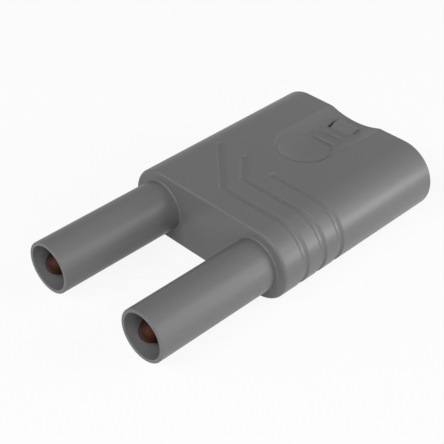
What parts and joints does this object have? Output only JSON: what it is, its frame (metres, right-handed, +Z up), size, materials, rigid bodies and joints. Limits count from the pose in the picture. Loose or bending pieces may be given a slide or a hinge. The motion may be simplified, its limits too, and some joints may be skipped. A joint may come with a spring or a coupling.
{
  "type": "twin 4 mm safety plug with rear sockets",
  "caption": "Shrouded twin banana plug in one flat moulded body: bridged contact pins in rigid sleeves, with touch-proof tap sockets in its rear face.",
  "frame": {"origin": "bottom centre of the bounding box, under the middle of the plug's length", "axes": "+Y from the sleeve mouths to the rear sockets, +X from the left contact to the right one as seen along +Y, +Z up through the upper scoop, which is the one with the round badge place in the picture"},
  "size_m": [0.03, 0.0522, 0.011],
  "materials": {
    "housing_plastic": "fine moulded satin",
    "insert_plastic": "fine moulded satin",
    "bar_brass": "rolled",
    "pin_metal": "turned, copper brown",
    "spring_metal": "rolled copper alloy",
    "washer_steel": "zinc plated",
    "socket_brass": "turned"
  },
  "bodies": {
    "root": {"housing": "housing_plastic", "socket_insert": "insert_plastic", "bridge_bar": "bar_brass", "contact_pin_left": "pin_metal", "contact_pin_right": "pin_metal", "spring_cage_left": "spring_metal", "spring_cage_right": "spring_metal", "lock_washer_left": "washer_steel", "lock_washer_right": "washer_steel", "socket_contact_left": "socket_brass", "socket_contact_right": "socket_brass"}
  },
  "joints": []
}
